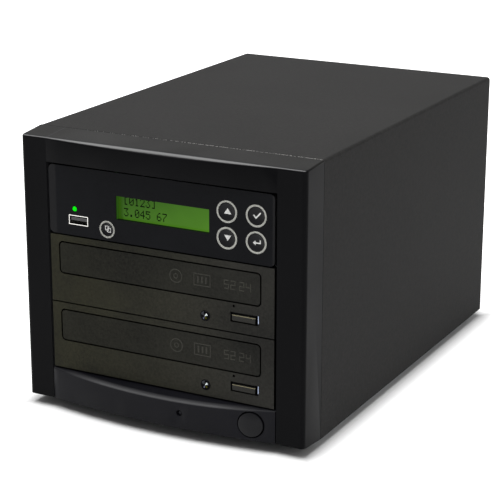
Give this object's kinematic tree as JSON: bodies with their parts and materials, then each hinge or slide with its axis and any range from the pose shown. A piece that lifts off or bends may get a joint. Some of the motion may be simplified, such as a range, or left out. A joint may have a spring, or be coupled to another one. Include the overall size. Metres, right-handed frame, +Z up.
{
  "type": "disc duplicator tower",
  "caption": "Desktop disc duplicator: a black steel case with a tapered moulded front, two tray drives one above the other, and a control panel with display, round keys and a socket.",
  "frame": {"origin": "under the middle of the whole object, at the height of the feet's undersides", "axes": "+Z up, the front with the drives looks along -Y, +X is right seen from the front"},
  "size_m": [0.187, 0.291, 0.17],
  "materials": {
    "powder_coat": "fine textured black powder coat",
    "rear_paint": "fine textured black powder coat",
    "zinc_steel": "zinc-coated sheet",
    "bezel_plastic": "satin black",
    "lower_panel_plastic": "satin bluish black",
    "panel_plastic": "satin bluish black",
    "display": "lit yellow-green display",
    "black_frame": "black",
    "circuit_board": "green solder mask",
    "key_plastic": "dished black",
    "button_plastic": "domed black",
    "nickel": "nickel plated",
    "tongue_plastic": "black",
    "lamp_plastic": "green, clear",
    "dark_plastic": "black",
    "bright_wire": "nickel plated wire",
    "foot_rubber": "black",
    "screw_steel": "zinc plated",
    "wire_sleeve": "black sleeves",
    "lens_plastic": "clear",
    "drive_plastic": "fine textured dark olive grey",
    "tray_plastic": "dark grey",
    "cast_sled": "die cast",
    "gear_plastic": "natural white"
  },
  "bodies": {
    "case": {"base_pan": "zinc_steel", "control_panel": "panel_plastic", "controller_board": "circuit_board", "controller_tray": "zinc_steel", "cover": "powder_coat", "disc_clamps": "zinc_steel", "display_frame": "black_frame", "display_glass": "display", "drive_boards": "circuit_board", "drive_brackets": "zinc_steel", "drive_lenses": "lens_plastic", "fan_frame": "dark_plastic", "fan_guard": "bright_wire", "front_bezel": "bezel_plastic", "front_frame": "zinc_steel", "indicator_lamps": "lamp_plastic", "lower_drive_case": "zinc_steel", "lower_drive_front": "drive_plastic", "lower_drive_lid": "zinc_steel", "lower_front_panel": "lower_panel_plastic", "lower_loader_frame": "dark_plastic", "mains_inlet": "dark_plastic", "panel_board": "circuit_board", "power_supply_case": "zinc_steel", "power_switch": "dark_plastic", "rear_panel": "rear_paint", "rubber_feet": "foot_rubber", "screws": "screw_steel", "supply_insides": "circuit_board", "switch_body": "dark_plastic", "upper_drive_case": "zinc_steel", "upper_drive_front": "drive_plastic", "upper_drive_lid": "zinc_steel", "upper_loader_frame": "dark_plastic", "usb_shell": "nickel", "usb_tongue": "tongue_plastic", "wiring": "wire_sleeve"},
    "key_up": {"key_up": "key_plastic"},
    "key_down": {"key_down": "key_plastic"},
    "key_enter": {"key_enter": "key_plastic"},
    "key_back": {"key_back": "key_plastic"},
    "key_copy": {"key_copy": "key_plastic"},
    "power_button": {"power_button": "button_plastic"},
    "power_rocker": {"power_rocker": "dark_plastic"},
    "fan_rotor": {"fan_rotor": "dark_plastic"},
    "supply_fan_rotor": {"supply_fan_rotor": "dark_plastic"},
    "lower_tray": {"lower_tray": "tray_plastic", "lower_tray_front": "drive_plastic"},
    "lower_eject": {"lower_eject_button": "drive_plastic"},
    "lower_gear": {"lower_loading_gear": "gear_plastic"},
    "lower_traverse": {"lower_traverse": "zinc_steel"},
    "lower_turntable": {"lower_turntable": "dark_plastic"},
    "lower_sled": {"lower_laser_sled": "cast_sled"},
    "upper_tray": {"upper_tray": "tray_plastic", "upper_tray_front": "drive_plastic"},
    "upper_eject": {"upper_eject_button": "drive_plastic"},
    "upper_gear": {"upper_loading_gear": "gear_plastic"},
    "upper_traverse": {"upper_traverse": "zinc_steel"},
    "upper_turntable": {"upper_turntable": "dark_plastic"},
    "upper_sled": {"upper_laser_sled": "cast_sled"}
  },
  "joints": [
    {"name": "key_up_press", "type": "slide", "parent": "case", "child": "key_up", "axis": [0, 1, 0], "range_m": [0, 0.0008], "stiffness_N_per_m": 800},
    {"name": "key_down_press", "type": "slide", "parent": "case", "child": "key_down", "axis": [0, 1, 0], "range_m": [0, 0.0008], "stiffness_N_per_m": 800},
    {"name": "key_enter_press", "type": "slide", "parent": "case", "child": "key_enter", "axis": [0, 1, 0], "range_m": [0, 0.0008], "stiffness_N_per_m": 800},
    {"name": "key_back_press", "type": "slide", "parent": "case", "child": "key_back", "axis": [0, 1, 0], "range_m": [0, 0.0008], "stiffness_N_per_m": 800},
    {"name": "key_copy_press", "type": "slide", "parent": "case", "child": "key_copy", "axis": [0, 1, 0], "range_m": [0, 0.0008], "stiffness_N_per_m": 800},
    {"name": "power_button_press", "type": "slide", "parent": "case", "child": "power_button", "axis": [0, 1, 0], "range_m": [0, 0.0025], "stiffness_N_per_m": 500},
    {"name": "power_rocker_tip", "type": "hinge", "parent": "case", "child": "power_rocker", "pos_m": [0.038, 0.13995, 0.052], "axis": [0, 0, 1], "range_deg": [0, 16]},
    {"name": "fan_spin", "type": "hinge", "parent": "case", "child": "fan_rotor", "pos_m": [0, 0.12845, 0.1135], "axis": [0, 1, 0], "continuous": true},
    {"name": "supply_fan_spin", "type": "hinge", "parent": "case", "child": "supply_fan_rotor", "pos_m": [-0.026, 0.13265, 0.03775], "axis": [0, 1, 0], "continuous": true},
    {"name": "lower_tray_slide", "type": "slide", "parent": "case", "child": "lower_tray", "axis": [0, -1, 0], "range_m": [0, 0.138]},
    {"name": "lower_gear_turn", "type": "hinge", "parent": "case", "child": "lower_gear", "pos_m": [-0.04665, -0.12205, 0.04595], "axis": [0, 0, 1], "range_deg": [-5, 909]},
    {"name": "lower_eject_press", "type": "slide", "parent": "case", "child": "lower_eject", "axis": [0, 1, 0], "range_m": [0, 0.001], "stiffness_N_per_m": 600},
    {"name": "lower_traverse_lift", "type": "hinge", "parent": "case", "child": "lower_traverse", "pos_m": [-0.00125, 0.01095, 0.04645], "axis": [-1, 0, 0], "range_deg": [0, 6.29]},
    {"name": "lower_turntable_spin", "type": "hinge", "parent": "lower_traverse", "child": "lower_turntable", "pos_m": [-0.00125, -0.05772, 0.03968], "axis": [0, -0.1096, 0.994], "continuous": true},
    {"name": "lower_sled_slide", "type": "slide", "parent": "lower_traverse", "child": "lower_sled", "axis": [0, 0.994, 0.1096], "range_m": [0, 0.028]},
    {"name": "upper_tray_slide", "type": "slide", "parent": "case", "child": "upper_tray", "axis": [0, -1, 0], "range_m": [0, 0.138]},
    {"name": "upper_gear_turn", "type": "hinge", "parent": "case", "child": "upper_gear", "pos_m": [-0.04665, -0.12205, 0.08795], "axis": [0, 0, 1], "range_deg": [-5, 909]},
    {"name": "upper_eject_press", "type": "slide", "parent": "case", "child": "upper_eject", "axis": [0, 1, 0], "range_m": [0, 0.001], "stiffness_N_per_m": 600},
    {"name": "upper_traverse_lift", "type": "hinge", "parent": "case", "child": "upper_traverse", "pos_m": [-0.00125, 0.01095, 0.08845], "axis": [-1, 0, 0], "range_deg": [0, 6.29]},
    {"name": "upper_turntable_spin", "type": "hinge", "parent": "upper_traverse", "child": "upper_turntable", "pos_m": [-0.00125, -0.05772, 0.08168], "axis": [0, -0.1096, 0.994], "continuous": true},
    {"name": "upper_sled_slide", "type": "slide", "parent": "upper_traverse", "child": "upper_sled", "axis": [0, 0.994, 0.1096], "range_m": [0, 0.028]}
  ],
  "couplings": [
    {"joint": "lower_gear_turn", "follows": "lower_tray_slide", "rad_per_m": 114.29},
    {"joint": "upper_gear_turn", "follows": "upper_tray_slide", "rad_per_m": 114.29}
  ]
}
